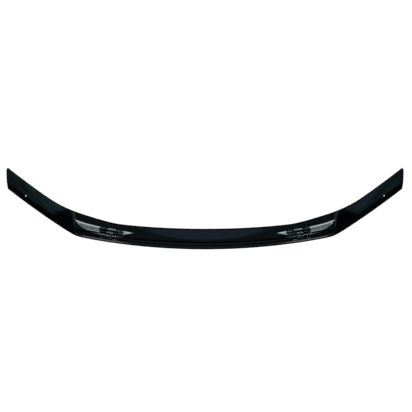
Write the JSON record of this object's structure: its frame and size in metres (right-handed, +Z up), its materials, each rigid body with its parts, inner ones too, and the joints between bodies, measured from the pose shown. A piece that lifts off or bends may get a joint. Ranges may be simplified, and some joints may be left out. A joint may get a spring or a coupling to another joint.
{
  "type": "hood bug deflector",
  "caption": "Smoke acrylic hood bug deflector that wraps a hood's front edge and corners, with a screw clamp for the hood's lip behind each end of the nose.",
  "frame": {"origin": "lowest front point of the shield's nose, on the centre line", "axes": "+X across the vehicle, to the right as seen from in front of it; +Y to the rear of the vehicle; +Z up"},
  "size_m": [1.496, 0.3972, 0.1514],
  "materials": {
    "smoke_acrylic": "deep black smoke acrylic, mirror gloss",
    "smoke_window": "see-through smoke acrylic",
    "black_nylon": "black moulded nylon, fine satin",
    "black_rubber": "matt black rubber",
    "black_foam": "closed-cell foam tape",
    "black_steel": "black coated steel",
    "zinc_steel": "bright zinc plating"
  },
  "bodies": {
    "root": {"clamp_body_left": "black_nylon", "clamp_body_right": "black_nylon", "clamp_jaw_left": "black_nylon", "clamp_jaw_right": "black_nylon", "clamp_nut_inner_left": "zinc_steel", "clamp_nut_inner_right": "zinc_steel", "clamp_nut_outer_left": "zinc_steel", "clamp_nut_outer_right": "zinc_steel", "clamp_screw_inner_left": "black_steel", "clamp_screw_inner_right": "black_steel", "clamp_screw_outer_left": "black_steel", "clamp_screw_outer_right": "black_steel", "flange_screw_inner_left": "black_steel", "flange_screw_inner_right": "black_steel", "flange_screw_outer_left": "black_steel", "flange_screw_outer_right": "black_steel", "flange_washer_inner_left": "zinc_steel", "flange_washer_inner_right": "zinc_steel", "flange_washer_outer_left": "zinc_steel", "flange_washer_outer_right": "zinc_steel", "foam_tape_left": "black_foam", "foam_tape_right": "black_foam", "jaw_pad_left": "black_rubber", "jaw_pad_right": "black_rubber", "mount_plate_left": "smoke_window", "mount_plate_right": "smoke_window", "shield": "smoke_acrylic"}
  },
  "joints": []
}
